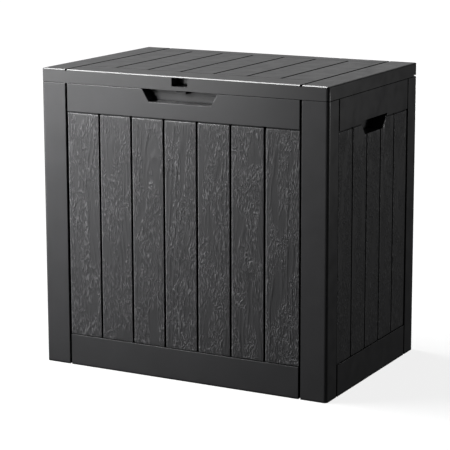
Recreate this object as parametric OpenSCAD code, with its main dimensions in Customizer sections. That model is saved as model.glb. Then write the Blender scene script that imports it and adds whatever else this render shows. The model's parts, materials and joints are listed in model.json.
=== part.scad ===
// Deck storage box: moulded resin panels between corner posts, with a hinged double-skin lid.
// Millimetres, +Z up. The origin is on the ground under the middle of the box.
// X runs across the front, and the front faces -Y.

/* [Box] */
// Width across the front
box_w = 560; // [480:5:640]
// Depth from front to back
box_d = 376; // [320:4:440]
// Height with the lid closed
box_h = 536; // [440:4:620]
// Rounding of the upright corners
corner_r = 6; // [3:1:8]
// Thickness of the panels at posts and rails
wall_t = 8; // [7:0.5:10]

/* [Boards] */
// Width of a corner post on the front and back
post_w = 51; // [40:1:64]
// Width of a corner post on the sides
post_d = 41; // [32:1:48]
// Height of the upper rail on the front and back
top_rail_h = 50; // [44:1:60]
// Height of the upper rail on the sides
side_rail_h = 55; // [50:1:60]
// Height of the lower rail
low_rail_h = 56; // [40:1:70]
// Width of the grooves between boards
groove_w = 4; // [3:0.5:5]
// How far the boards lie behind the rails
board_step = 2.5; // [1:0.25:3]
// How much wider the two outer boards of the front and back are
outer_board_extra = 2; // [0:0.5:4]
// Boards between the front posts
front_boards = 7; // [5:2:9]
// Boards between the side posts
side_boards = 5; // [3:2:7]

/* [Lid] */
// Height of the lid's edge
lid_h = 24.2; // [22:0.2:28]
// Thickness of the lid's top and edge
lid_t = 5; // [4.5:0.5:6]
// Width of the flat bevel along the lid's upper front edge
lid_bevel = 2.2; // [1:0.2:3]
// Depth of the plain strip along the lid's front
lid_front_strip = 61; // [50:1:70]
// Width of the grooves in the lid's top
lid_groove_w = 5; // [4:0.5:6]
// Gap between the lid and the rim
lid_gap = 0.8; // [0.5:0.1:1.2]

/* [Pull and lock] */
// Width of the finger pull at its top
pull_top_w = 148; // [120:2:160]
// Width of the finger pull at its foot
pull_foot_w = 122; // [100:2:140]
// Height of the finger pull
pull_h = 22; // [18:1:26]
// Depth of the finger pull and of the lock window
pull_depth = 22; // [18:1:24]
// Width of the lock window
lock_w = 31; // [26:1:36]
// Height of the lock window
lock_h = 15.5; // [13:0.5:16]
// Diameter of the padlock hole
lock_hole_d = 9; // [7:0.5:10]

/* [Side handles] */
// Width of the hand hold at its top
hand_top_w = 112; // [100:2:120]
// Width of the hand hold at its foot
hand_foot_w = 76; // [70:2:90]
// Height of the hand hold
hand_h = 25; // [22:1:30]
// Depth of the hand hold
hand_depth = 28; // [24:1:32]

/* [Hinges] */
// Distance of each hinge from the middle
hinge_x = 168; // [140:2:190]
// Width of one hinge
hinge_w = 80; // [60:2:100]
// Diameter of the hinge pin
pin_d = 5; // [4:0.5:6]
// Outer radius of the knuckles
knuckle_r = 6; // [5:0.5:6.5]
// Clearance round the pin in the lid's knuckle
pin_play = 0.05; // [0.02:0.01:0.1]
// Angle at which the lid is drawn
lid_open = 0; // [0:1:100]

/* [Hidden] */
$fn = 64;
eps = 0.01;
half_w = box_w / 2;
half_d = box_d / 2;
seam_z = box_h - lid_h;                // lower edge of the lid
rim_z = seam_z - lid_gap;              // top of the walls
post_x = half_w - post_w;              // middle of the groove beside a front post
post_y = half_d - post_d;              // middle of the groove beside a side post
front_w = 2 * post_x - groove_w;       // width of the front and back panels
side_w = 2 * post_y - groove_w;        // width of the side panels
front_pitch = 2 * (post_x - outer_board_extra) / front_boards;
side_pitch = (2 * post_y) / side_boards;
groove_depth = wall_t - 2;             // leaves 2 mm behind a groove
chamfer = 1;                           // along the edges of grooves
tongue_t = 4;                          // strip of a panel that lies behind a post
tongue_w = 24;
tongue_in = 10;                        // how far that strip lies behind the panel itself
tongue_drop = 10;                      // how far it ends below the rim
blind_wall = 2;                        // resin left in front of a blind screw hole
ledge_z = 5;                           // ledge that carries the floor
ledge_t = 5;
ledge_w = 16;
floor_t = 4;
floor_z = ledge_z + ledge_t;
floor_play = 1;                        // round the floor
floor_rib_drop = 2;                    // how far the floor's ribs reach below the ledges
floor_screw_x = 40;                    // outer floor screws from the posts
floor_screw_y = 10;                    // floor screws from the walls
rim_flange = 8;
rim_flange_h = 6;
cup_t = 3.5;                           // wall of the moulded cups
hinge_in = 7;                          // hinge line in from the back
hinge_up = 8.7;                        // hinge line above the lid's lower edge
axis_y = half_d - hinge_in;
axis_z = seam_z + hinge_up;
bead_r = hinge_in;                     // rounding of the lid's lower back edge
back_round = 8;                        // rounding of the lid's upper back edge
side_round = 3.5;                      // rounding along the lid's two sides
top_groove = 3;                        // depth of the grooves in the lid's top
top_groove_lean = 1;                   // how much each of their walls leans
line_w = 1.2;                          // fine line at the ends of the lid's boards
line_depth = 0.6;
leaf_t = 3;
leaf_h = 46;
arm_t = 3;
arm_len = 60;
side_knuckle = 17;                     // width of each body knuckle
knuckle_gap = 0.5;
knuckle_room = 1.5;                    // above the knuckles, in the lid
leaf_rise = 1;                         // leaf above the rim
leaf_hole_x = 28;                      // outer screws of a leaf, from its middle
leaf_hole_high = 26;                   // and above its foot
leaf_hole_low = 12;                    // middle screw above its foot
arm_hole_x = 14;                       // screws of an arm: the front pair, and the one behind it
arm_hole_front = 14;
arm_hole_back = 34;
liner_t = 3;
liner_z = seam_z + 1.2;                // the liner lies a little above the lid's lower edge
liner_gap = 8;                         // between the liner and the hinge arms
liner_back = axis_y - arm_len - liner_gap;
liner_rib_t = 4;                       // locating ribs of the lid
liner_rib_drop = 9;                    // how far they reach below the liner
liner_rib_side = 4;                    // and their distance from the rim's flange
liner_rib_front = 10;                  // and from the finger pull
liner_screw_x = 50;                    // liner screws from the lid's sides
liner_screw_front = 44;                // from its front
liner_screw_back = 16;                 // from the liner's back edge
liner_screw_mid = 10;                  // and the middle row before the middle of the box
liner_bite = 8;                        // how far a screw reaches into its boss
arm_bite = 5;
play = 0.5;                            // clearance round loose parts
screw_r = 2;
screw_short = 2.5;                     // how far a screw ends short of the outer face
screw_margin = 60;                     // end screws of a post, from the ground and the rim
screw_in = 6;                          // post screws from the edge of the post
head_r = 4;
head_t = 2;
slot_r = 2.6;                          // cross recess of a screw head
slot_w = 1;
boss_r = 5;
boss_skin = 4;                         // bosses end this far below the lid's top
pilot_skin = 7;                        // pilot holes end this far below the lid's top
floor_hole_z = floor_z - ledge_t + 1;
pull_r = 4;                            // round lower corners of the finger pull
hand_r = 5;                            // round lower corners of the hand hold
hand_up = 4.5;                         // top of the hand hold above the boards
rib_t = 4;
floor_ribs = 3;                        // floor ribs on each side of the middle one
floor_rib_pitch = 66;
lock_in = 13;                          // padlock hole from the front face
window_skin = 2;                       // resin above the lock window
tongue_plate_w = 18;                   // lock tongue
tongue_plate_t = 4.5;
tongue_front = 5.5;
tongue_root_w = 20;
tongue_root_t = 6;
tongue_root_d = 3;                     // depth of its foot, let into the cup
tongue_seat = 2;                       // how much of that lies in the cup's wall
pin_head_t = 1.5;
pin_head_extra = 3;
hinge_play = 3;                        // room in the lid beside a hinge

resin = [0.24, 0.24, 0.25];
lid_resin = [0.30, 0.30, 0.31];
liner_resin = [0.17, 0.17, 0.18];
steel = [0.62, 0.63, 0.65];

// ---- shared shapes ----

// A block given by its lower corner and its upper corner.
module block(low, high) {
    translate(low) cube([high.x - low.x, high.y - low.y, high.z - low.z]);
}

// A rectangle with round corners, centred on the origin.
module round_rect(w, d, r) {
    square([w - 2 * r, d], center = true);
    square([w, d - 2 * r], center = true);
    for (x = [-1, 1], y = [-1, 1])
        translate([x * (w / 2 - r), y * (d / 2 - r)]) circle(r);
}

// Cross-section of a groove that opens upwards at height 0.
module groove_section(w, depth) {
    polygon([
        [-w / 2 - chamfer, eps], [w / 2 + chamfer, eps],
        [w / 2, -chamfer], [w / 2, -depth], [-w / 2, -depth], [-w / 2, -chamfer]
    ]);
}

// Panels are built lying in X and Z, with the outer face at y = 0 and the inner face at wall_t.
// An upright groove between two boards.
module upright_groove(x, low, high) {
    translate([x, board_step, low]) rotate([0, 0, 180])
        linear_extrude(high - low) groove_section(groove_w, groove_depth - board_step);
}

// A trapezium with round lower corners, standing in X and Z with its upper edge at height 0.
module pull_outline(top_w, foot_w, h, r) {
    slope = (top_w - foot_w) / 2 / h;
    rim = foot_w / 2 + slope * r;
    round_x = rim - r * sqrt(1 + slope * slope);
    polygon([[-top_w / 2, 0], [top_w / 2, 0], [rim, r - h], [-rim, r - h]]);
    translate([-round_x, -h]) square([2 * round_x, h]);
    for (x = [-1, 1]) translate([x * round_x, r - h]) circle(r);
}

// The skin of a panel: rails proud, boards set back, grooves between the boards.
module board_panel(w, boards, pitch, high_rail) {
    board_top = seam_z - high_rail;
    difference() {
        block([-w / 2, 0, 0], [w / 2, wall_t, rim_z]);
        block([-w / 2 - 1, -1, low_rail_h], [w / 2 + 1, board_step, board_top]);
        for (i = [1 : boards - 1])
            upright_groove((i - boards / 2) * pitch, low_rail_h, board_top);
    }
    for (s = [-1, 1])
        translate([s * (w / 2 + tongue_w / 2 - tongue_in), 0, 0])
            block([-tongue_w / 2, wall_t, 0], [tongue_w / 2, wall_t + tongue_t, rim_z - tongue_drop]);
    block([-w / 2, wall_t, ledge_z], [w / 2, wall_t + ledge_w, floor_z]);
}

// Inward flange along the top of a panel.
module rim_rail(w) {
    block([-w / 2, wall_t, rim_z - rim_flange_h], [w / 2, wall_t + rim_flange, rim_z]);
}

// Heights at which the panels are screwed to the posts.
function screw_heights() = [screw_margin, rim_z / 2, rim_z - screw_margin];
// Distance of those screws from the middle of a panel of width w.
function screw_offset(w) = w / 2 + groove_w + screw_in;

// Blind holes for the post screws of one panel, cut from the inside towards the outside.
module post_screw_holes(w) {
    for (s = [-1, 1], z = screw_heights())
        translate([s * screw_offset(w), blind_wall, z]) rotate([-90, 0, 0])
            cylinder(r = screw_r, h = wall_t + tongue_t);
}

// Places a panel's own shapes at the front, the back, the right or the left.
module at_front() { translate([0, -half_d, 0]) children(); }
module at_back() { rotate([0, 0, 180]) at_front() children(); }
module at_right() { translate([half_w, 0, 0]) rotate([0, 0, 90]) children(); }
module at_left() { rotate([0, 0, 180]) at_right() children(); }

// Blind holes in the ledges for the floor screws.
module floor_screw_holes() {
    for (p = floor_spots()) translate([p.x, p.y, floor_hole_z])
        cylinder(r = screw_r, h = floor_z);
}

// ---- walls ----

module pull_cut(depth) {
    translate([0, depth, rim_z]) rotate([90, 0, 0])
        linear_extrude(depth + 1) pull_outline(pull_top_w, pull_foot_w, pull_h, pull_r);
}

module front_panel() {
    color(resin) difference() {
        at_front() difference() {
            union() {
                board_panel(front_w, front_boards, front_pitch, top_rail_h);
                rim_rail(front_w);
            }
            pull_cut(pull_depth);
            // seat of the pull cup
            block([-pull_top_w / 2 - cup_t, wall_t, rim_z - pull_h - cup_t],
                  [pull_top_w / 2 + cup_t, pull_depth + cup_t, box_h]);
            post_screw_holes(front_w);
        }
        floor_screw_holes();
    }
}

// Cup behind the notch in the front panel, open to the front and to the lid above.
module pull_cup() {
    color(resin) at_front() difference() {
        block([-pull_top_w / 2 - cup_t, wall_t, rim_z - pull_h - cup_t],
              [pull_top_w / 2 + cup_t, pull_depth + cup_t, rim_z]);
        translate([0, 0, eps]) pull_cut(pull_depth);
        // seat of the lock tongue
        block([-tongue_root_w / 2, pull_depth + tongue_seat - tongue_root_d, rim_z - tongue_root_t],
              [tongue_root_w / 2, pull_depth + tongue_seat, rim_z + 1]);
    }
}

module back_panel() {
    color(resin) difference() {
        at_back() difference() {
            board_panel(front_w, front_boards, front_pitch, top_rail_h);
            post_screw_holes(front_w);
            for (p = leaf_screw_spots())
                translate([p.x, blind_wall, p.y]) rotate([-90, 0, 0])
                    cylinder(r = screw_r, h = wall_t);
        }
        floor_screw_holes();
    }
}

module hand_cut(depth, grow) {
    translate([0, depth, seam_z - side_rail_h + hand_up + grow]) rotate([90, 0, 0])
        linear_extrude(depth + 1)
            pull_outline(hand_top_w + 2 * grow, hand_foot_w + 2 * grow, hand_h + 2 * grow, hand_r);
}

// Side panel with its moulded hand hold, a cup that is closed towards the inside.
module side_panel() {
    difference() {
        union() {
            board_panel(side_w, side_boards, side_pitch, side_rail_h);
            rim_rail(side_w);
            intersection() {
                hand_cut(hand_depth + cup_t, cup_t);
                block([-half_w, wall_t - 1, 0], [half_w, hand_depth + cup_t, box_h]);
            }
        }
        hand_cut(hand_depth, 0);
        post_screw_holes(side_w);
    }
}

module left_side_panel() { color(resin) at_left() side_panel(); }
module right_side_panel() { color(resin) at_right() side_panel(); }

// Corner post of L section, drawn for the front left corner.
module corner_post() {
    difference() {
        linear_extrude(rim_z) intersection() {
            difference() {
                round_rect(box_w, box_d, corner_r);
                square([box_w - 2 * wall_t, box_d - 2 * wall_t], center = true);
            }
            translate([-half_w - 1, -half_d - 1])
                square([post_w - groove_w / 2 + 1, post_d - groove_w / 2 + 1]);
        }
        at_front() post_screw_holes(front_w);
        at_left() post_screw_holes(side_w);
    }
}

module front_left_post() { color(resin) corner_post(); }
module front_right_post() { color(resin) mirror([1, 0, 0]) corner_post(); }
module back_left_post() { color(resin) mirror([0, 1, 0]) corner_post(); }
module back_right_post() { color(resin) rotate([0, 0, 180]) corner_post(); }

// ---- floor ----

function floor_spots() = [
    for (x = [-1, 0, 1], y = [-1, 1])
        [x * (post_x - floor_screw_x), y * (half_d - wall_t - floor_screw_y)]
];

module floor_panel() {
    inset = wall_t + tongue_t + floor_play;
    rib_end = half_d - wall_t - ledge_w - 2 * floor_play;
    color(liner_resin) difference() {
        union() {
            translate([0, 0, floor_z]) linear_extrude(floor_t)
                square([box_w - 2 * inset, box_d - 2 * inset], center = true);
            for (i = [-floor_ribs : floor_ribs])
                translate([i * floor_rib_pitch, 0, 0])
                    block([-rib_t / 2, -rib_end, ledge_z - floor_rib_drop], [rib_t / 2, rib_end, floor_z]);
        }
        for (p = floor_spots())
            translate([p.x, p.y, 0]) cylinder(r = screw_r, h = 2 * floor_z);
    }
}

// ---- fasteners ----

// Pan-head screw that points along +Z: the head lies below 0 and the shank above it.
module screw(length) {
    translate([0, 0, -head_t]) difference() {
        cylinder(r = head_r, h = head_t);
        block([-slot_r, -slot_w / 2, -1], [slot_r, slot_w / 2, 1]);
        block([-slot_w / 2, -slot_r, -1], [slot_w / 2, slot_r, 1]);
    }
    cylinder(r = screw_r, h = length);
}

module panel_screws(w) {
    for (s = [-1, 1], z = screw_heights())
        translate([s * screw_offset(w), wall_t + tongue_t, z]) rotate([90, 0, 0])
            screw(wall_t + tongue_t - screw_short);
}

module post_screws() {
    color(steel) {
        at_front() panel_screws(front_w);
        at_back() panel_screws(front_w);
        at_left() panel_screws(side_w);
        at_right() panel_screws(side_w);
    }
}

module floor_screws() {
    color(steel) for (p = floor_spots())
        translate([p.x, p.y, floor_z + floor_t]) rotate([180, 0, 0]) screw(floor_t + ledge_t - 1);
}

// ---- lock ----

// Nylon tongue that stands forward from the back of the finger pull, with the padlock hole.
module lock_tongue() {
    color(resin) at_front() difference() {
        union() {
            translate([0, 0, rim_z - play - tongue_plate_t])
                block([-tongue_plate_w / 2, tongue_front, 0],
                      [tongue_plate_w / 2, pull_depth + tongue_seat, tongue_plate_t]);
            block([-tongue_root_w / 2, pull_depth + tongue_seat - tongue_root_d, rim_z - tongue_root_t],
                  [tongue_root_w / 2, pull_depth + tongue_seat, rim_z]);
        }
        translate([0, lock_in, 0]) cylinder(d = lock_hole_d, h = box_h);
    }
}

// ---- hinges ----

// Screw places on one leaf, from the middle of the back panel, as [x, z].
function leaf_screw_spots() = [
    for (s = [-1, 1], p = [[-leaf_hole_x, leaf_hole_high], [0, leaf_hole_low], [leaf_hole_x, leaf_hole_high]])
        [s * hinge_x + p.x, rim_z - leaf_h + p.y]
];

// A knuckle along X on the hinge line.
module knuckle(low, high, bore_r) {
    translate([low, axis_y, axis_z]) rotate([0, 90, 0]) difference() {
        cylinder(r = knuckle_r, h = high - low);
        translate([0, 0, -1]) cylinder(r = bore_r, h = high - low + 2);
    }
}

// The fixed leaf: a plate inside the back panel with a knuckle at each end.
module hinge_leaf() {
    back = half_d - wall_t;
    difference() {
        union() {
            block([-hinge_w / 2, back - leaf_t, rim_z - leaf_h], [hinge_w / 2, back, rim_z + leaf_rise]);
            for (s = [-1, 1]) {
                low = (s < 0) ? -hinge_w / 2 : hinge_w / 2 - side_knuckle;
                block([low, back - leaf_t, rim_z], [low + side_knuckle, back, axis_z]);
                translate([low, axis_y, axis_z]) rotate([0, 90, 0])
                    cylinder(r = knuckle_r, h = side_knuckle);
            }
        }
        translate([-hinge_w, axis_y, axis_z]) rotate([0, 90, 0])
            cylinder(d = pin_d, h = 2 * hinge_w);
        for (p = leaf_screw_spots())
            translate([p.x - hinge_x, back - leaf_t - 1, p.y]) rotate([-90, 0, 0])
                cylinder(r = screw_r, h = leaf_t + 2);
    }
}

module left_hinge_leaf() { color(steel) translate([-hinge_x, 0, 0]) hinge_leaf(); }
module right_hinge_leaf() { color(steel) translate([hinge_x, 0, 0]) hinge_leaf(); }

// Pin pressed into the leaf's knuckles, with a low head at its outer end.
module hinge_pin() {
    translate([-hinge_w / 2 - pin_head_t, axis_y, axis_z]) rotate([0, 90, 0]) {
        cylinder(d = pin_d, h = hinge_w + 2 * pin_head_t);
        cylinder(d = pin_d + pin_head_extra, h = pin_head_t);
    }
}

module left_hinge_pin() { color(steel) translate([-hinge_x, 0, 0]) hinge_pin(); }
module right_hinge_pin() { color(steel) translate([hinge_x, 0, 0]) mirror([1, 0, 0]) hinge_pin(); }

module hinge_leaf_screws() {
    color(steel) for (p = leaf_screw_spots())
        translate([p.x, half_d - wall_t - leaf_t, p.y]) rotate([-90, 0, 0])
            screw(leaf_t + wall_t - screw_short);
}

// Screw places on one arm, as [x, y].
function arm_screw_spots() = [
    for (p = [[-arm_hole_x, arm_hole_front], [arm_hole_x, arm_hole_front], [0, arm_hole_back]])
        [p.x, axis_y - arm_len + p.y]
];

// The moving arm: a plate under the lid's top with one knuckle between the leaf's two.
module hinge_arm() {
    half = hinge_w / 2 - side_knuckle - knuckle_gap;
    difference() {
        union() {
            block([-half, axis_y - arm_len, axis_z - arm_t / 2], [half, axis_y, axis_z + arm_t / 2]);
            translate([-half, axis_y, axis_z]) rotate([0, 90, 0])
                cylinder(r = knuckle_r, h = 2 * half);
        }
        translate([-hinge_w, axis_y, axis_z]) rotate([0, 90, 0])
            cylinder(r = pin_d / 2 + pin_play, h = 2 * hinge_w);
        for (p = arm_screw_spots())
            translate([p.x, p.y, axis_z - arm_t]) cylinder(r = screw_r, h = 2 * arm_t);
    }
}

// Turns the lid and what is fixed to it about the hinge line.
module opened() {
    translate([0, axis_y, axis_z]) rotate([-lid_open, 0, 0])
        translate([0, -axis_y, -axis_z]) children();
}

module left_hinge_arm() { color(steel) opened() translate([-hinge_x, 0, 0]) hinge_arm(); }
module right_hinge_arm() { color(steel) opened() translate([hinge_x, 0, 0]) hinge_arm(); }

module hinge_arm_screws() {
    color(steel) opened() for (s = [-1, 1], p = arm_screw_spots())
        translate([s * hinge_x + p.x, p.y, axis_z - arm_t / 2]) screw(arm_t + arm_bite);
}

// ---- lid ----

// Places of the liner screws, as [x, y].
function liner_spots() = [
    for (x = [-3, -1, 1, 3] / 3,
         y = [liner_screw_front - half_d, -liner_screw_mid, liner_back - liner_screw_back])
        [x * (half_w - liner_screw_x), y]
];

// Side view of the lid's edge: straight below, and round about the hinge line at the back.
module edge_profile() {
    difference() {
        translate([-half_d, seam_z]) square([box_d, lid_h]);
        translate([axis_y - bead_r, seam_z - 1]) square([bead_r + hinge_in + 1, hinge_up + 1]);
    }
    translate([axis_y, axis_z]) circle(bead_r);
}

// Turns an outline drawn in Y and Z into a solid along X.
module along_x(low, high) {
    translate([low, 0, 0]) rotate([90, 0, 90]) linear_extrude(high - low) children();
}

// What the lid's upper back edge loses, seen from the side: all outside a round of radius r.
module back_edge_cut(r) {
    translate([half_d - r, box_h - r]) difference() {
        square(r + 1);
        circle(r);
    }
}

// What the upper front edge loses: a flat 45 degree bevel.
module front_edge_cut() {
    flat = lid_bevel * sin(45);
    mirror([1, 0]) translate([half_d, box_h])
        polygon([[-flat, 0], [-flat - 1, 1], [1, 1], [1, -flat - 1], [0, -flat]]);
}

// The lid's outer form before it is hollowed.
module lid_block() {
    intersection() {
        linear_extrude(box_h) round_rect(box_w, box_d, corner_r);
        along_x(-half_w, half_w) difference() {
            edge_profile();
            front_edge_cut();
            back_edge_cut(back_round);
        }
        // rounds along the two sides
        rotate([90, 0, 0]) linear_extrude(box_d + 2, center = true) {
            translate([-half_w, 0]) square([box_w, box_h - side_round]);
            translate([side_round - half_w, 0]) square([box_w - 2 * side_round, box_h]);
            for (s = [-1, 1])
                translate([s * (half_w - side_round), box_h - side_round]) circle(side_round);
        }
    }
}

// A groove along Y in the lid's top, a little narrower at its foot.
module lid_groove(x, low, high) {
    foot = lid_groove_w / 2 - top_groove_lean;
    translate([x, high, box_h]) rotate([90, 0, 0]) linear_extrude(high - low) polygon([
        [-lid_groove_w / 2, eps], [lid_groove_w / 2, eps], [foot, -top_groove], [-foot, -top_groove]
    ]);
}

module top_grooves() {
    board_low = -half_d + lid_front_strip;
    for (s = [-1, 1]) lid_groove(s * post_x, -half_d - 1, half_d + 1);
    for (i = [1 : front_boards - 1])
        lid_groove((i - front_boards / 2) * front_pitch, board_low, post_y);
    for (y = [board_low, post_y])
        block([-post_x, y - line_w / 2, box_h - line_depth], [post_x, y + line_w / 2, box_h + 1]);
}

// Hollow lid with its edge, the lock window's cup and the bosses for liner and hinges.
module lid_shell() {
    window_top = box_h - window_skin;
    window_low = window_top - lock_h;
    color(lid_resin) opened() difference() {
        union() {
            difference() {
                lid_block();
                block([-half_w + lid_t, -half_d + lid_t, 0], [half_w - lid_t, half_d - lid_t, box_h - lid_t]);
            }
            along_x(-half_w + lid_t, half_w - lid_t)
                translate([axis_y, axis_z]) circle(bead_r);
            block([-lock_w / 2 - cup_t, -half_d + lid_t / 2, window_low - cup_t],
                  [lock_w / 2 + cup_t, -half_d + pull_depth + cup_t, box_h - lid_t / 2]);
            for (p = liner_spots())
                translate([p.x, p.y, liner_z + liner_t])
                    cylinder(r = boss_r, h = box_h - boss_skin - liner_z - liner_t);
            for (s = [-1, 1], p = arm_screw_spots())
                translate([s * hinge_x + p.x, p.y, axis_z + arm_t / 2])
                    cylinder(r = boss_r, h = box_h - boss_skin - axis_z - arm_t / 2);
        }
        top_grooves();
        // lock window and the padlock hole in its floor
        block([-lock_w / 2, -half_d - 1, window_low], [lock_w / 2, -half_d + pull_depth, window_top]);
        translate([0, -half_d + lock_in, 0]) cylinder(d = lock_hole_d, h = window_low + 1);
        // room for the hinges
        for (s = [-1, 1])
            block([s * hinge_x - hinge_w / 2 - hinge_play, axis_y - knuckle_r - hinge_play, 0],
                  [s * hinge_x + hinge_w / 2 + hinge_play, half_d + 1, axis_z + knuckle_r + knuckle_room]);
        // pilot holes
        for (p = liner_spots()) translate([p.x, p.y, 0]) cylinder(r = screw_r, h = box_h - pilot_skin);
        for (s = [-1, 1], p = arm_screw_spots())
            translate([s * hinge_x + p.x, p.y, 0]) cylinder(r = screw_r, h = box_h - pilot_skin);
    }
}

// Inner skin of the lid, with ribs that drop inside the walls and keep the lid in place.
module lid_liner() {
    edge = lid_t + play;
    rib_x = half_w - wall_t - rim_flange - liner_rib_side;
    rib_front = -half_d + pull_depth + liner_rib_front;
    rib_low = liner_z - liner_rib_drop;
    room = cup_t + play;
    color(liner_resin) opened() difference() {
        union() {
            block([-half_w + edge, -half_d + edge, liner_z], [half_w - edge, liner_back, liner_z + liner_t]);
            for (s = [-1, 1])
                translate([s * (rib_x - liner_rib_t / 2), 0, 0])
                    block([-liner_rib_t / 2, rib_front, rib_low],
                          [liner_rib_t / 2, liner_back - liner_rib_t, liner_z]);
            block([-rib_x, rib_front, rib_low], [rib_x, rib_front + liner_rib_t, liner_z]);
        }
        // clear of the lock cup and the screws
        block([-lock_w / 2 - room, -half_d, 0], [lock_w / 2 + room, -half_d + pull_depth + room, box_h]);
        for (p = liner_spots()) translate([p.x, p.y, 0]) cylinder(r = screw_r, h = box_h);
    }
}

module liner_screws() {
    color(steel) opened() for (p = liner_spots())
        translate([p.x, p.y, liner_z]) screw(liner_t + liner_bite);
}

front_panel();
pull_cup();
back_panel();
left_side_panel();
right_side_panel();
front_left_post();
front_right_post();
back_left_post();
back_right_post();
floor_panel();
lock_tongue();
post_screws();
floor_screws();
left_hinge_leaf();
right_hinge_leaf();
left_hinge_pin();
right_hinge_pin();
hinge_leaf_screws();
lid_shell();
lid_liner();
left_hinge_arm();
right_hinge_arm();
hinge_arm_screws();
liner_screws();
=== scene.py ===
import json
import math

import bpy
import numpy as np
from mathutils import Euler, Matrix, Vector

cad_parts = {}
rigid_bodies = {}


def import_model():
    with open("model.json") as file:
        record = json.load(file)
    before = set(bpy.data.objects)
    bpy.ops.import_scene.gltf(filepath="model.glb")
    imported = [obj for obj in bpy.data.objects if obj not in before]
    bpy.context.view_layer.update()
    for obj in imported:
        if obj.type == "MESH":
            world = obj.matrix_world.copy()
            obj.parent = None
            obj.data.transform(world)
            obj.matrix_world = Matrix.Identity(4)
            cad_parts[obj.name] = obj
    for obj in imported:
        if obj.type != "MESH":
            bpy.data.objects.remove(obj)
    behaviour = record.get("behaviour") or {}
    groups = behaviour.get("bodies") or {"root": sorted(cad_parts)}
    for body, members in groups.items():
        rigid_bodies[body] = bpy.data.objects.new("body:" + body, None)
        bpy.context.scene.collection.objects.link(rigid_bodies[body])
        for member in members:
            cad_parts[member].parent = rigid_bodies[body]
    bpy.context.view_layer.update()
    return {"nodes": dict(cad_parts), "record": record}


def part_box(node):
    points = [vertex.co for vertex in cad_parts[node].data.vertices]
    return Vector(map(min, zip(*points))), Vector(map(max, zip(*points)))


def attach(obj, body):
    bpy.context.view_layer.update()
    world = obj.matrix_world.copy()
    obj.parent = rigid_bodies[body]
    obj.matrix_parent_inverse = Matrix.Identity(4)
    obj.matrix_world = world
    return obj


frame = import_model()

mm = 0.001
nodes = frame["nodes"]


camera = {
    "place": (1.5083, -2.8369, 0.9299),    # metres
    "yaw": 28.2063,                        # degrees to the left of +Y
    "down": 10.9157,                       # degrees below the horizon
    "roll": -0.13,                         # degrees
    "lens": 144.75, "sensor": 36,          # mm
    "shift": -0.08,                        # share of the sensor's width
    "farthest": 200,                       # metres
}


def makeCamera(look):
    data = bpy.data.cameras.new("camera")
    data.lens = look["lens"]
    data.sensor_width = look["sensor"]
    data.shift_y = look["shift"]
    data.clip_end = look["farthest"]
    holder = bpy.data.objects.new("camera", data)
    holder.location = look["place"]
    turn = Euler((math.radians(90 - look["down"]), 0, math.radians(look["yaw"])), "XYZ").to_matrix()
    roll = Euler((0, 0, math.radians(look["roll"])), "XYZ").to_matrix()
    holder.rotation_euler = (turn @ roll).to_euler("XYZ")
    bpy.context.scene.collection.objects.link(holder)
    bpy.context.scene.camera = holder


makeCamera(camera)
print("camera placed")


def fromHex(code):
    # sRGB hex to linear RGBA
    part = np.array([int(code[i:i + 2], 16) for i in (1, 3, 5)]) / 255
    flat = np.where(part <= 0.04045, part / 12.92, ((part + 0.055) / 1.055) ** 2.4)
    return (*flat.tolist(), 1.0)


def addNode(tree, kind, settings=None, links=None):
    # adds one node: settings go to sockets or properties, links join sockets to outputs
    node = tree.nodes.new(kind)
    for name, value in (settings or {}).items():
        if isinstance(name, int) or name in node.inputs:
            node.inputs[name].default_value = value
        else:
            setattr(node, name, value)
    for name, source in (links or {}).items():
        tree.links.new(source, node.inputs[name])
    return node


def startMaterial(name):
    material = bpy.data.materials.new(name)
    material.use_nodes = True
    tree = material.node_tree
    tree.nodes.clear()
    shader = addNode(tree, "ShaderNodeBsdfPrincipled")
    addNode(tree, "ShaderNodeOutputMaterial", links={"Surface": shader.outputs[0]})
    place = addNode(tree, "ShaderNodeTexCoord").outputs["Object"]
    return material, tree, shader, place


def grainDashes(tree, place, look):
    # short upright dashes of embossed grain that lean a little and leave bare patches
    drift = addNode(tree, "ShaderNodeTexNoise",
                    {"Scale": 1 / (look["lean"] * mm), "Detail": 1.0}, {"Vector": place})
    away = addNode(tree, "ShaderNodeVectorMath", {"operation": "SCALE", "Scale": look["leanBy"] * mm},
                   {0: drift.outputs["Color"]})
    moved = addNode(tree, "ShaderNodeVectorMath", {"operation": "ADD"}, {0: place, 1: away.outputs[0]})
    slim = addNode(tree, "ShaderNodeMapping", {"Scale": (1, 1, look["dash"] / look["dashLong"])},
                   {"Vector": moved.outputs[0]})
    dash = addNode(tree, "ShaderNodeTexNoise",
                   {"Scale": 1 / (look["dash"] * mm), "Detail": 1.5, "Roughness": 0.6},
                   {"Vector": slim.outputs[0]})
    raised = addNode(tree, "ShaderNodeMapRange",
                     {"From Min": look["dashFrom"][0], "From Max": look["dashFrom"][1],
                      "interpolation_type": "SMOOTHSTEP"},
                     {"Value": dash.outputs["Fac"]})
    low = addNode(tree, "ShaderNodeMapping", {"Scale": (1, 1, look["patch"] / look["patchLong"])},
                  {"Vector": place})
    patch = addNode(tree, "ShaderNodeTexNoise",
                    {"Scale": 1 / (look["patch"] * mm), "Detail": 1.0}, {"Vector": low.outputs[0]})
    shown = addNode(tree, "ShaderNodeMapRange",
                    {"From Min": look["patchFrom"][0], "From Max": look["patchFrom"][1],
                     "interpolation_type": "SMOOTHSTEP"},
                    {"Value": patch.outputs["Fac"]})
    return addNode(tree, "ShaderNodeMath", {"operation": "MULTIPLY"},
                   {0: raised.outputs[0], 1: shown.outputs[0]}).outputs[0]


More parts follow.
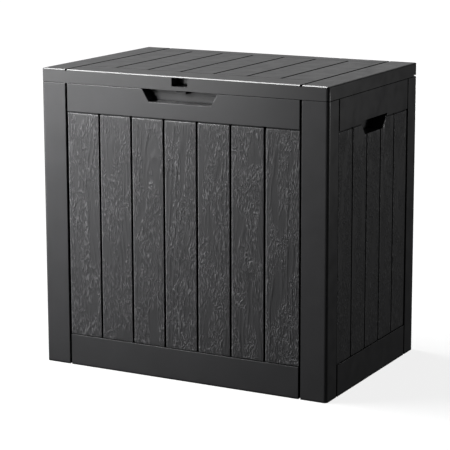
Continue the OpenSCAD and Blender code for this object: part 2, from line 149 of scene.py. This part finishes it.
def mouldedResin(name, look):
    # Injection-moulded polypropylene: a satin skin with soft flow mottling and a faint spark-eroded
    # tooth that breaks up the gloss. Painted shade darkens the colour and takes away the gloss in
    # corners and grooves where the walls meet. With "dash" in the look it also has embossed wood
    # grain, drawn coarser than the mould's so that it shows.
    material, tree, shader, place = startMaterial(name)
    flow = addNode(tree, "ShaderNodeTexNoise",
                   {"Scale": 1 / (look["flow"] * mm), "Detail": 3.0, "Roughness": 0.6}, {"Vector": place})
    tint = addNode(tree, "ShaderNodeMix",
                   {"data_type": "RGBA", 6: fromHex(look["dark"]), 7: fromHex(look["light"])},
                   {0: flow.outputs["Fac"]})
    colour = tint.outputs[2]
    if look.get("dash"):
        # a painted highlight lightens the tops of the raised dashes
        dashes = grainDashes(tree, place, look)
        paintedDashHighlightShare = addNode(tree, "ShaderNodeMath", {"operation": "MULTIPLY", 1: look["paintedDashHighlightBy"]}, {0: dashes})
        colour = addNode(tree, "ShaderNodeMix", {"data_type": "RGBA", 7: fromHex(look["paintedDashHighlight"])},
                         {0: paintedDashHighlightShare.outputs[0], 6: colour}).outputs[2]
        # a painted highlight lightens the boards' rounded edges
        edge = addNode(tree, "ShaderNodeAttribute", {"attribute_name": "rim"})
        share = addNode(tree, "ShaderNodeMath", {"operation": "MULTIPLY", 1: look["rimBy"]},
                        {0: edge.outputs["Fac"]})
        colour = addNode(tree, "ShaderNodeMix", {"data_type": "RGBA", 7: fromHex(look["rim"])},
                         {0: share.outputs[0], 6: colour}).outputs[2]
    # painted shade: ambient occlusion darkens the colour towards black in corners and grooves
    corner = addNode(tree, "ShaderNodeAmbientOcclusion", {"Distance": look["corner"] * mm, "samples": 8})
    shade = addNode(tree, "ShaderNodeMapRange",
                    {"From Min": look["cornerFrom"][0], "From Max": look["cornerFrom"][1],
                     "To Min": look["cornerDark"], "To Max": 1.0},
                    {"Value": corner.outputs["AO"]})
    paintedShadeColour = addNode(tree, "ShaderNodeMix",
                   {"data_type": "RGBA", 6: (0.0, 0.0, 0.0, 1.0)},
                   {0: shade.outputs[0], 7: colour})
    tree.links.new(paintedShadeColour.outputs[2], shader.inputs["Base Color"])
    # painted shade also lowers the specular level and the coat in corners and grooves
    paintedShadeSpecular = addNode(tree, "ShaderNodeMath", {"operation": "MULTIPLY", 1: 0.5}, {0: shade.outputs[0]})
    tree.links.new(paintedShadeSpecular.outputs[0], shader.inputs["Specular IOR Level"])
    skin = addNode(tree, "ShaderNodeMath", {"operation": "MULTIPLY", 1: look["skin"]},
                   {0: shade.outputs[0]})
    tree.links.new(skin.outputs[0], shader.inputs["Coat Weight"])
    cloud = addNode(tree, "ShaderNodeTexNoise",
                    {"Scale": 1 / (look["cloud"] * mm), "Detail": 2.0}, {"Vector": place})
    gloss = addNode(tree, "ShaderNodeMapRange",
                    {"From Min": 0.3, "From Max": 0.7,
                     "To Min": look["rough"][0], "To Max": look["rough"][1]},
                    {"Value": cloud.outputs["Fac"]})
    tree.links.new(gloss.outputs[0], shader.inputs["Roughness"])
    tooth = addNode(tree, "ShaderNodeTexNoise",
                    {"Scale": 1 / (look["tooth"] * mm), "Detail": 2.0}, {"Vector": place})
    bump = addNode(tree, "ShaderNodeBump",
                   {"Strength": 1.0, "Distance": look["toothHigh"] * mm}, {"Height": tooth.outputs["Fac"]})
    if look.get("dash"):
        bump = addNode(tree, "ShaderNodeBump", {"Strength": 1.0, "Distance": look["dashHigh"] * mm},
                       {"Height": dashes, "Normal": bump.outputs[0]})
    tree.links.new(bump.outputs[0], shader.inputs["Normal"])
    shader.inputs["IOR"].default_value = look["ior"]
    shader.inputs["Coat Roughness"].default_value = look["skinRough"]
    shader.inputs["Coat IOR"].default_value = look["skinIor"]
    return material


resinLook = {
    "dark": "#3c3c3d", "light": "#444446",
    "flow": 60, "cloud": 25, "rough": (0.34, 0.44),              # sizes in mm
    "tooth": 1.4, "toothHigh": 0.02,
    # painted shade in corners and grooves: how far the occlusion looks, its darkest level, and the open
    # shares it fades over
    "corner": 6, "cornerDark": 0.0, "cornerFrom": (0.45, 0.92),  # darkest to clear, in open share
    "ior": 1.49,
    "skin": 0.35, "skinRough": 0.16, "skinIor": 1.4,             # the glossier outermost layer
}
boardLook = dict(
    resinLook, dark="#39393a", light="#434345", rough=(0.46, 0.56),
    dash=1.8, dashLong=11, dashHigh=1.1,          # mm
    lean=45, leanBy=22, patch=24, patchLong=90,   # mm
    dashFrom=(0.45, 0.68), patchFrom=(0.37, 0.48),
    # painted highlights: on the tops of the dashes and on the boards' rounded edges
    paintedDashHighlight="#808082", paintedDashHighlightBy=0.6, rim="#a8a8aa", rimBy=0.8,
)
# the lid's grooves get darker painted shade
lidLook = dict(resinLook, dark="#3e3e3f", light="#484849", cornerFrom=(0.7, 0.96))
innerLook = dict(resinLook, dark="#333334", light="#3b3b3c", rough=(0.5, 0.6))
nylonLook = dict(resinLook, dark="#1d1d1f", light="#262628")


def zincPlatedSteel(name, look):
    # Pressed steel with a bright zinc plate: a cool grey metal with faint drawn lines and cloudy
    # patches of shine.
    material, tree, shader, place = startMaterial(name)
    cloud = addNode(tree, "ShaderNodeTexNoise",
                    {"Scale": 1 / (look["cloud"] * mm), "Detail": 4.0}, {"Vector": place})
    tint = addNode(tree, "ShaderNodeMix",
                   {"data_type": "RGBA", 6: fromHex(look["dark"]), 7: fromHex(look["light"])},
                   {0: cloud.outputs["Fac"]})
    tree.links.new(tint.outputs[2], shader.inputs["Base Color"])
    gloss = addNode(tree, "ShaderNodeMapRange",
                    {"To Min": look["rough"][0], "To Max": look["rough"][1]},
                    {"Value": cloud.outputs["Fac"]})
    tree.links.new(gloss.outputs[0], shader.inputs["Roughness"])
    long = addNode(tree, "ShaderNodeMapping", {"Scale": (look["lineShare"], 1, 1)}, {"Vector": place})
    drawn = addNode(tree, "ShaderNodeTexNoise",
                    {"Scale": 1 / (look["line"] * mm), "Detail": 2.0}, {"Vector": long.outputs[0]})
    bump = addNode(tree, "ShaderNodeBump",
                   {"Strength": 1.0, "Distance": look["lineHigh"] * mm}, {"Height": drawn.outputs["Fac"]})
    tree.links.new(bump.outputs[0], shader.inputs["Normal"])
    shader.inputs["Metallic"].default_value = 1.0
    return material


steelLook = {
    "dark": "#a4a8ad", "light": "#c6c9cc",
    "cloud": 6, "rough": (0.28, 0.46),  # cloud in mm
    "line": 0.4, "lineHigh": 0.01,      # mm
    "lineShare": 0.05,                  # a line's width over its length
}

materials = {
    "resin": mouldedResin("polypropyleneMouldedSatin", resinLook),
    "boards": mouldedResin("polypropyleneMouldedGrain", boardLook),
    "lid_resin": mouldedResin("polypropyleneMouldedLid", lidLook),
    "inner_resin": mouldedResin("polypropyleneMouldedInner", innerLook),
    "nylon": mouldedResin("nylonMouldedBlack", nylonLook),
    "zinc_steel": zincPlatedSteel("steelZincPlated", steelLook),
}
print("materials made")


finish = {
    "round": 0.6 * mm,         # moulded edges
    "roundThin": 0.05 * mm,    # where fine lines or thin ribs leave no room
    "thin": ("lid_shell", "lid_liner", "lock_tongue"),
    "sharp": 35,               # degrees: steeper edges are rounded
    "flat": 1.0,               # degrees: flatter ones are dissolved
    "weld": 0.01 * mm,
}


def softenEdges(piece, width, look):
    # rounds the edges of a CAD node without touching its mesh
    weld = piece.modifiers.new("joined", "WELD")
    weld.merge_threshold = look["weld"]
    flat = piece.modifiers.new("flat", "DECIMATE")
    flat.decimate_type = "DISSOLVE"
    flat.angle_limit = math.radians(look["flat"])
    edge = piece.modifiers.new("edges", "BEVEL")
    edge.width = width
    edge.segments = 2
    edge.limit_method = "ANGLE"
    edge.angle_limit = math.radians(look["sharp"])
    edge.use_clamp_overlap = False
    edge.harden_normals = True
    even = piece.modifiers.new("even", "WEIGHTED_NORMAL")
    even.keep_sharp = True


slotOf = {part["node"]: part["material_slot"] for part in frame["record"]["subparts"]}

for name, piece in nodes.items():
    slot = slotOf[name]
    piece.data.materials.clear()
    piece.data.materials.append(materials[slot])
    if name in finish["thin"]:
        softenEdges(piece, finish["roundThin"], finish)
    elif slot != "zinc_steel":
        softenEdges(piece, finish["round"], finish)
print("CAD pieces finished")


def smoothNoise(u, z, cellU, cellZ, seed):
    # value noise in 0..1: random lattice values joined by smooth steps along u and z
    dice = np.random.default_rng(seed)
    lattice = dice.random((int(u.max() / cellU) + 3, int(z.max() / cellZ) + 3))
    a, b = u / cellU, z / cellZ
    i, j = np.floor(a).astype(int), np.floor(b).astype(int)
    s, t = a - i, b - j
    s, t = s * s * (3 - 2 * s), t * t * (3 - 2 * t)
    low = lattice[i, j] * (1 - s) + lattice[i + 1, j] * s
    high = lattice[i, j + 1] * (1 - s) + lattice[i + 1, j + 1] * s
    return low * (1 - t) + high * t


grain = {
    "spacing": 6.5 * mm,            # between rings
    "high": 0.45 * mm,              # of a ridge
    "wobble": 7 * mm,
    "wobbleLong": 130 * mm,
    "middleSwing": 0.6,             # share of the board's width
    "middleLong": 400 * mm,
    "heart": 15 * mm,               # how far the cut lies from the middle of the tree
    "heartSwing": 16 * mm,
    "heartLong": 160 * mm,
    "wave": (11 * mm, 50 * mm), "waveBy": 0.7,
    "dash": (2.6 * mm, 16 * mm),
    "patch": (20 * mm, 85 * mm),
    "pore": (1.6 * mm, 10 * mm), "poreHigh": 0.45,
}


def grainHeight(u, z, width, look, seed):
    # Rings of a tree cut by a plank: r = sqrt((u - middle)^2 + heart^2), where the middle and the
    # heart's depth drift along the plank; a ridge stands at each whole ring, broken into dashes.
    along = u * 0    # a drift along the plank is the same across it
    drift = smoothNoise(along, z, 1, look["wobbleLong"], seed) - 0.5
    swing = smoothNoise(along, z, 1, look["middleLong"], seed + 1) - 0.5
    middle = width * (0.5 + look["middleSwing"] * swing) + look["wobble"] * drift
    depth = smoothNoise(along, z, 1, look["heartLong"], seed + 2) - 0.5
    heart = look["heart"] + look["heartSwing"] * depth * 2
    wave = smoothNoise(u, z, *look["wave"], seed + 3) - 0.5
    ring = np.sqrt((u - middle) ** 2 + heart ** 2) / look["spacing"] + look["waveBy"] * wave
    ridge = (0.5 + 0.5 * np.cos(2 * np.pi * ring)) ** 4
    # the noises are stretched and cut off, which leaves clear dashes, patches and pores
    dash = np.clip(smoothNoise(u, z, *look["dash"], seed + 4) * 2.4 - 0.5, 0, 1)
    patch = np.clip(smoothNoise(u, z, *look["patch"], seed + 5) * 2.2 - 0.45, 0.15, 1)
    pore = np.clip(smoothNoise(u, z, *look["pore"], seed + 6) * 2 - 1.1, 0, 1)
    return look["high"] * patch * (ridge * (0.35 + 0.65 * dash) + look["poreHigh"] * pore)


def stations(length, edge, step):
    # distances along a board: a few over each rounded edge, evenly spaced ones between them
    near = np.array([0, 0.12, 0.35, 0.65, 1.0]) * edge    # closer where the rounding is steeper
    count = max(2, int(round((length - 2 * edge) / step)))
    middle = np.linspace(edge, length - edge, count + 1)[1:-1]
    return np.concatenate([near, middle, length - near[::-1]])


def boardMesh(left, right, low, topOf, look, seed):
    # One board lying in u and z with its face towards +depth. Its top follows topOf(u), and the rows
    # are stretched to it. The depth over the back is wall + rise * sqrt(1 - (1 - d / edge)^2) for a
    # distance d < edge from the outline, and the grain's height is added inside it. A last ring at
    # depth 0 makes the side walls. The last result is 1 at the outline and 0 on the flat face.
    across = left + stations(right - left, look["edge"], look["stepU"])
    top = topOf(across)
    level = stations(top.max() - low, look["edge"], look["stepZ"]) / (top.max() - low)
    u, z = np.meshgrid(across, level, indexing="ij")
    z = low + z * (top[:, None] - low)
    steep = np.hypot(1, np.gradient(top, across))[:, None]
    inside = np.minimum(np.minimum(u - left, right - u), np.minimum(z - low, (top[:, None] - z) / steep))
    s = np.clip(inside / look["edge"], 0, 1)
    depth = look["wall"] + look["rise"] * np.sqrt(1 - (1 - s) ** 2)
    fade = np.clip((inside - look["edge"]) / look["fade"], 0, 1)
    depth += grainHeight(u - left, z, right - left, grain, seed) * fade
    u, z = np.pad(u, 1, mode="edge"), np.pad(z, 1, mode="edge")
    depth = np.pad(depth, 1, constant_values=0.0)
    points = np.stack([u, z, depth], axis=-1)
    rows, columns = u.shape
    index = np.arange(rows * columns).reshape(rows, columns)
    quads = np.stack([index[:-1, :-1], index[1:, :-1], index[1:, 1:], index[:-1, 1:]], axis=-1)
    ring = np.concatenate([index[:, 0], index[-1, 1:], index[-2::-1, -1], index[0, -2:0:-1]])
    # share of the painted edge highlight: 1 at the outline, 0 on the flat face
    rim = np.pad(1 - s, 1, constant_values=1.0)
    return points.reshape(-1, 3), quads.reshape(-1, 4), ring[::-1], rim.ravel()


def makeMesh(name, parts, place):
    # joins closed boards into one mesh; place turns (u, z, depth) into x, y, z, and a point
    # attribute tells the material where the rounded edges are, which get a painted highlight
    verts, faces, rims, start = [], [], [], 0
    for points, quads, ring, rim in parts:
        verts.append(place(points))
        faces += (quads + start).tolist() + [(ring + start).tolist()]
        rims.append(rim)
        start += len(points)
    mesh = bpy.data.meshes.new(name)
    mesh.from_pydata(np.concatenate(verts).tolist(), [], faces)
    mesh.validate()
    mesh.attributes.new("rim", "FLOAT", "POINT").data.foreach_set("value", np.concatenate(rims))
    mesh.polygons.foreach_set("use_smooth", [True] * len(mesh.polygons))
    mesh.set_sharp_from_angle(angle=math.radians(boards["sharp"]))
    piece = bpy.data.objects.new(name, mesh)
    bpy.context.scene.collection.objects.link(piece)
    return piece


boards = {
    "groove": 4.0 * mm,
    "frontCount": 7, "sideCount": 5,
    "outerExtra": 2 * mm,                      # the two outer boards of the front are wider
    "lowRail": 56 * mm, "frontRail": 50 * mm, "sideRail": 55 * mm,
    "step": 2.5 * mm,                          # CAD board face behind the rails
    "gapTop": 2.4 * mm, "gapLow": 1.2 * mm,    # shadow lines at the rails
    "sink": 1.0 * mm,                          # how far a board's back lies in the panel
    "wall": 1.1 * mm, "rise": 1.2 * mm, "edge": 1.7 * mm,
    "fade": 1.5 * mm,                          # over which the grain starts inside the edge
    "stepU": 0.85 * mm, "stepZ": 3.2 * mm,     # of the mesh
    "sharp": 50,                               # degrees
}


def boardSpans(half, count, extra, look):
    # left and right ends of each board of a panel, from the middle of the panel
    cuts = (np.arange(count + 1) / count - 0.5) * 2 * (half - extra)
    cuts[0], cuts[-1] = -half, half
    return [(a + look["groove"] / 2, b - look["groove"] / 2) for a, b in zip(cuts[:-1], cuts[1:])]


hand = {
    "top": 112 * mm, "foot": 76 * mm, "high": 25 * mm,   # the hand hold's trapezium
    "round": 5 * mm,                                     # its lower corners
    "up": 4.5 * mm,                                      # its top above the boards
}


def handHoldFoot(u, boardTop, look):
    # height of the hand hold's lower outline over u: the flat foot, then a quarter of a circle that
    # meets the slanted side, then that side; beyond it the board's own top
    slope = (look["top"] - look["foot"]) / 2 / look["high"]
    foot = boardTop + look["up"] - look["high"]
    lean = math.hypot(1, slope)
    r = look["round"]
    centre = look["foot"] / 2 + slope * r - r * lean
    away = np.abs(u)
    arc = foot + r - np.sqrt(np.maximum(r * r - np.clip(away - centre, 0, r) ** 2, 0))
    side = foot + (away - look["foot"] / 2) / slope
    return np.where(away < centre + r / lean, arc, side)


def panelBoards(name, half, count, extra, rail, look, seed, place):
    # all boards of one wall as one piece, from its low rail to its upper rail or hand hold
    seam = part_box("lid_shell")[0].z
    low, high = look["lowRail"] + look["gapLow"], seam - rail - look["gapTop"]

    def topOf(u):
        if "front" in name or "back" in name:
            return np.full(len(u), high)
        return np.minimum(handHoldFoot(u, seam - rail, hand), high)

    parts = [boardMesh(left, right, low, topOf, look, seed + 20 * i)
             for i, (left, right) in enumerate(boardSpans(half, count, extra, look))]
    piece = makeMesh(name, parts, place)
    piece.data.materials.append(materials["boards"])
    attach(piece, "box")


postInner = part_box("front_left_post")[1]
halfFront = -postInner.x - boards["groove"] / 2
halfSide = -postInner.y - boards["groove"] / 2
faceFront = -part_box("front_panel")[0].y
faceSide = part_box("right_side_panel")[1].x
base = boards["step"] + boards["sink"]    # from a wall's face in to the boards' backs

# (u, z, depth) of each wall, seen from outside, as x, y, z
walls = {
    "front_boards": lambda p: np.stack([p[:, 0], -(faceFront - base + p[:, 2]), p[:, 1]], -1),
    "back_boards": lambda p: np.stack([-p[:, 0], faceFront - base + p[:, 2], p[:, 1]], -1),
    "right_boards": lambda p: np.stack([faceSide - base + p[:, 2], p[:, 0], p[:, 1]], -1),
    "left_boards": lambda p: np.stack([-(faceSide - base + p[:, 2]), -p[:, 0], p[:, 1]], -1),
}
for number, (name, place) in enumerate(walls.items()):
    seed = 100 + 1000 * number
    if "front" in name or "back" in name:
        panelBoards(name, halfFront, boards["frontCount"], boards["outerExtra"],
                    boards["frontRail"], boards, seed, place)
    else:
        panelBoards(name, halfSide, boards["sideCount"], 0, boards["sideRail"], boards, seed, place)
print("boards made")


studio = {
    "floor": "#fbfbfb", "floorRough": 0.9,
    "floorSize": 60,                                 # metres
    "ambient": 0.02,
    "floorFlat": 2.8, "floorSun": 1.2,               # the floor's light without and with shadow
    "sunFrom": (-0.75, -0.1, 0.65), "sunSoft": 50,   # degrees across
}
lamps = {    # place, aim and size in metres, power in watts, spread in degrees
    "keyStrip": dict(place=(-1.1, -0.75, 0.6), aim=(-0.25, -0.19, 0.4), size=(0.25, 1.2), power=5.2),
    "keySoftbox": dict(place=(-1.1, -0.7, 0.8), aim=(-0.25, -0.19, 0.45), size=(0.4, 0.4), power=4.6),
    "highSoftbox": dict(place=(-0.75, -0.85, 1.15), aim=(-0.2, -0.19, 0.45), size=(0.35, 0.35), power=7.5),
    "spot": dict(place=(-0.9, -1.6, 1.1), aim=(-0.35, -0.19, 0.5), size=(0.3, 0.3), power=1.1, spread=35),
    "frontSoftbox": dict(place=(-0.9, -1.6, 0.5), aim=(-0.2, -0.19, 0.4), size=(0.6, 0.6), power=3.1),
    "lidSoftbox": dict(place=(-1.1, 1.9, 1.1), aim=(0, 0, 0.53), size=(1.0, 1.0), power=0.88),
    "lidFarSoftbox": dict(place=(-0.2, 2.4, 1.3), aim=(0, 0, 0.53), size=(1.2, 1.2), power=1.6),
    "sideSoftbox": dict(place=(2.2, 1.5, 0.45), aim=(0.28, 0, 0.3), size=(0.7, 0.7), power=8),
    "edgeStrip": dict(place=(-0.95, -0.47, 2.4), aim=(-0.95, -0.19, 0.53), size=(1.3, 0.15), power=40),
    "backSoftbox": dict(place=(-0.45, 2.2, 0.3), aim=(-0.1, 0.19, 0.3), size=(0.8, 0.4), power=12),
}


def softbox(name, look, only):
    # an area lamp that the camera doesn't see and that lights only one collection
    data = bpy.data.lights.new(name, "AREA")
    data.shape = "RECTANGLE"
    data.size, data.size_y = look["size"]
    data.energy = look["power"]
    data.spread = math.radians(look.get("spread", 180))
    lamp = bpy.data.objects.new(name, data)
    lamp.location = look["place"]
    toAim = Vector(look["aim"]) - Vector(look["place"])
    lamp.rotation_euler = toAim.to_track_quat("-Z", "Y").to_euler()
    lamp.visible_camera = False
    bpy.context.scene.collection.objects.link(lamp)
    lamp.light_linking.receiver_collection = only


def floorSun(name, strength, fromWhere, soft, only, shadow):
    # a sun that lights only one collection, with or without a shadow
    data = bpy.data.lights.new(name, "SUN")
    data.energy = strength
    data.angle = math.radians(soft)
    data.use_shadow = shadow
    lamp = bpy.data.objects.new(name, data)
    lamp.rotation_euler = Vector(fromWhere).to_track_quat("Z", "Y").to_euler()
    bpy.context.scene.collection.objects.link(lamp)
    lamp.light_linking.receiver_collection = only


def makeFloor(look):
    # matte white paper, which throws no light back onto the object
    half = look["floorSize"] / 2
    mesh = bpy.data.meshes.new("floor")
    corners = [(-half, -half, 0), (half, -half, 0), (half, half, 0), (-half, half, 0)]
    mesh.from_pydata(corners, [], [(0, 1, 2, 3)])
    floor = bpy.data.objects.new("floor", mesh)
    bpy.context.scene.collection.objects.link(floor)
    material, tree, shader, place = startMaterial("paperWhiteMatte")
    shader.inputs["Base Color"].default_value = fromHex(look["floor"])
    shader.inputs["Roughness"].default_value = look["floorRough"]
    mesh.materials.append(material)
    floor.visible_diffuse = False
    floor.visible_glossy = False
    return floor


floor = makeFloor(studio)
floorOnly = bpy.data.collections.new("floorOnly")
floorOnly.objects.link(floor)
objectOnly = bpy.data.collections.new("objectOnly")
for piece in bpy.context.scene.objects:
    if piece.type == "MESH" and piece is not floor:
        objectOnly.objects.link(piece)
for name, look in lamps.items():
    softbox(name, look, objectOnly)
floorSun("floorFlat", studio["floorFlat"], (0, 0, 1), 0, floorOnly, False)
floorSun("floorSun", studio["floorSun"], studio["sunFrom"], studio["sunSoft"], floorOnly, True)

world = bpy.data.worlds.new("studio")
bpy.context.scene.world = world
world.use_nodes = True
world.node_tree.nodes.clear()
# the sky is white to the camera and nearly black to the object
seen = addNode(world.node_tree, "ShaderNodeLightPath").outputs["Is Camera Ray"]
dim = addNode(world.node_tree, "ShaderNodeBackground",
              {"Color": (1, 1, 1, 1), "Strength": studio["ambient"]})
bright = addNode(world.node_tree, "ShaderNodeBackground", {"Color": (1, 1, 1, 1), "Strength": 1.0})
both = addNode(world.node_tree, "ShaderNodeMixShader",
               links={0: seen, 1: dim.outputs[0], 2: bright.outputs[0]})
addNode(world.node_tree, "ShaderNodeOutputWorld", links={"Surface": both.outputs[0]})

scene = bpy.context.scene
scene.view_settings.view_transform = "Standard"
scene.view_settings.look = "None"
print("studio lit")
